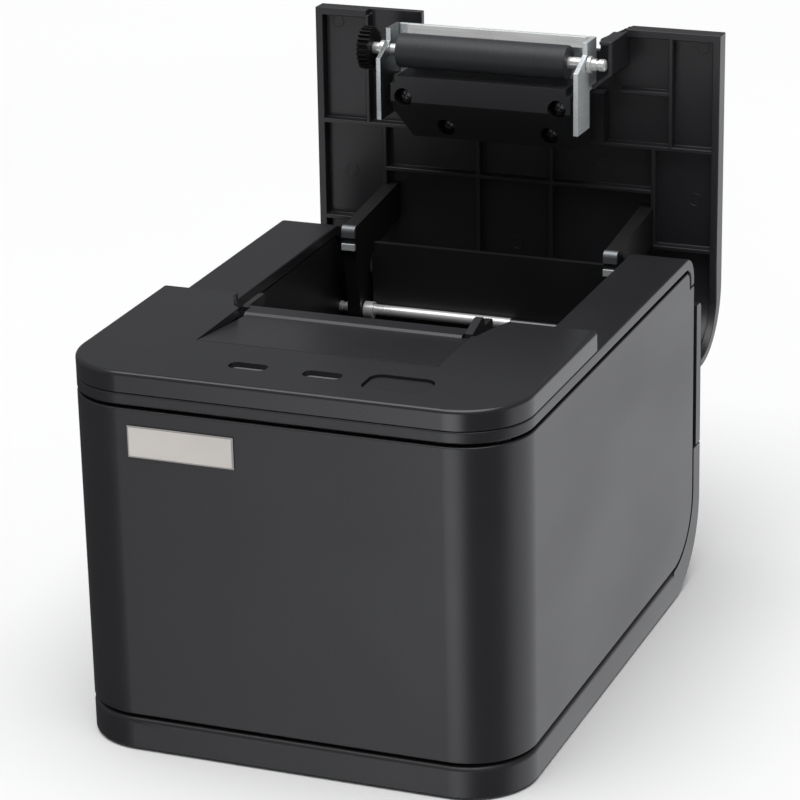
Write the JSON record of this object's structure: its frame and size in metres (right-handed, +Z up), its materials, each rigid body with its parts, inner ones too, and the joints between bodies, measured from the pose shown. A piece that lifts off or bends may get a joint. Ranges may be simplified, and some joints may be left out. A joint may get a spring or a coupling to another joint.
{
  "type": "receipt printer",
  "caption": "Desktop thermal receipt printer with a drop-in paper bin, shown with its hinged paper cover swung open and the platen roller on the cover.",
  "frame": {"origin": "middle of the footprint, on the surface that the feet stand on", "axes": "+Z up, -Y towards the user at the front, +X to the user's right"},
  "size_m": [0.137, 0.2028, 0.1737],
  "materials": {
    "casing_plastic": "satin black moulded casing with a fine texture",
    "inner_plastic": "plain black moulding",
    "bright_steel": "ground steel",
    "plated_sheet": "zinc plated sheet",
    "platen_rubber": "ground charcoal rubber",
    "foot_rubber": "matt black",
    "label": "blank satin label",
    "lamp_window": "grey translucent light pipe",
    "port_plastic": "dark grey socket",
    "circuit_board": "green solder mask",
    "head_ceramic": "glazed heating element",
    "black_gear": "black acetal",
    "white_gear": "natural acetal"
  },
  "bodies": {
    "body": {"base_tray": "casing_plastic", "outer_shell": "casing_plastic", "top_frame": "casing_plastic", "front_cap": "casing_plastic", "cutter_cover": "casing_plastic", "rear_panel": "casing_plastic", "paper_bin": "inner_plastic", "label_plate": "label", "hinge_shaft": "bright_steel", "hinge_collar_left": "bright_steel", "hinge_collar_right": "bright_steel", "power_lamp_window": "lamp_window", "error_lamp_window": "lamp_window", "rubber_foot_1": "foot_rubber", "rubber_foot_2": "foot_rubber", "rubber_foot_3": "foot_rubber", "rubber_foot_4": "foot_rubber", "base_screw_1": "bright_steel", "base_screw_2": "bright_steel", "base_screw_3": "bright_steel", "base_screw_4": "bright_steel", "main_board": "circuit_board", "port_board": "circuit_board", "power_jack": "inner_plastic", "usb_port": "bright_steel", "drawer_port": "port_plastic", "switch_housing": "inner_plastic", "mechanism_frame": "plated_sheet", "head_pin": "bright_steel", "idler_stud": "bright_steel", "feed_motor": "plated_sheet", "cutter_frame": "plated_sheet", "cutter_motor": "plated_sheet"},
    "cover": {"paper_cover": "casing_plastic", "platen_bracket": "plated_sheet", "platen_holder": "inner_plastic", "holder_screw_1": "bright_steel", "holder_screw_2": "bright_steel", "holder_screw_3": "bright_steel", "holder_screw_4": "bright_steel", "fixed_knife": "bright_steel", "arm_stop_1": "bright_steel", "arm_stop_2": "bright_steel", "platen_bushing_left": "bright_steel", "platen_bushing_right": "bright_steel"},
    "platen": {"platen_shaft": "bright_steel", "platen_rubber": "platen_rubber", "platen_gear": "black_gear"},
    "button": {"feed_button": "casing_plastic"},
    "rocker": {"power_rocker": "inner_plastic"},
    "head": {"thermal_head": "head_ceramic", "head_spring_1": "bright_steel", "head_spring_2": "bright_steel"},
    "idler": {"idler_gear": "white_gear"},
    "pinion": {"motor_pinion": "white_gear"},
    "blade": {"cutter_blade": "bright_steel"},
    "cutter_drive": {"cutter_pinion": "black_gear"}
  },
  "joints": [
    {"name": "cover_hinge", "type": "hinge", "parent": "body", "child": "cover", "pos_m": [0, 0.077, 0.0825], "axis": [1, 0, 0], "range_deg": [0, 91]},
    {"name": "platen_spin", "type": "hinge", "parent": "cover", "child": "platen", "pos_m": [0, 0.09146, 0.16576], "axis": [1, 0, 0], "continuous": true},
    {"name": "feed_button_press", "type": "slide", "parent": "body", "child": "button", "axis": [0, 0, -1], "range_m": [0, 0.0008], "stiffness_N_per_m": 400},
    {"name": "power_switch", "type": "hinge", "parent": "body", "child": "rocker", "pos_m": [0.0415, 0.085, 0.055], "axis": [1, 0, 0], "range_deg": [0, 10]},
    {"name": "head_tilt", "type": "hinge", "parent": "body", "child": "head", "pos_m": [-0.0055, -0.017, 0.083], "axis": [1, 0, 0], "range_deg": [0, 2.5], "stiffness_Nm_per_rad": 0.6, "springref_deg": -5.73},
    {"name": "idler_spin", "type": "hinge", "parent": "body", "child": "idler", "pos_m": [-0.04345, -0.0252, 0.089], "axis": [1, 0, 0], "continuous": true},
    {"name": "motor_pinion_spin", "type": "hinge", "parent": "body", "child": "pinion", "pos_m": [-0.04345, -0.0395, 0.0845], "axis": [1, 0, 0], "continuous": true},
    {"name": "cutter_stroke", "type": "slide", "parent": "body", "child": "blade", "axis": [0, 1, 0], "range_m": [0, 0.008]},
    {"name": "cutter_pinion_spin", "type": "hinge", "parent": "body", "child": "cutter_drive", "pos_m": [0.012, -0.05, 0.105], "axis": [0, 0, -1], "range_deg": [0, 115]}
  ],
  "couplings": [
    {"joint": "motor_pinion_spin", "follows": "idler_spin", "ratio": -4},
    {"joint": "cutter_pinion_spin", "follows": "cutter_stroke", "rad_per_m": 250}
  ]
}
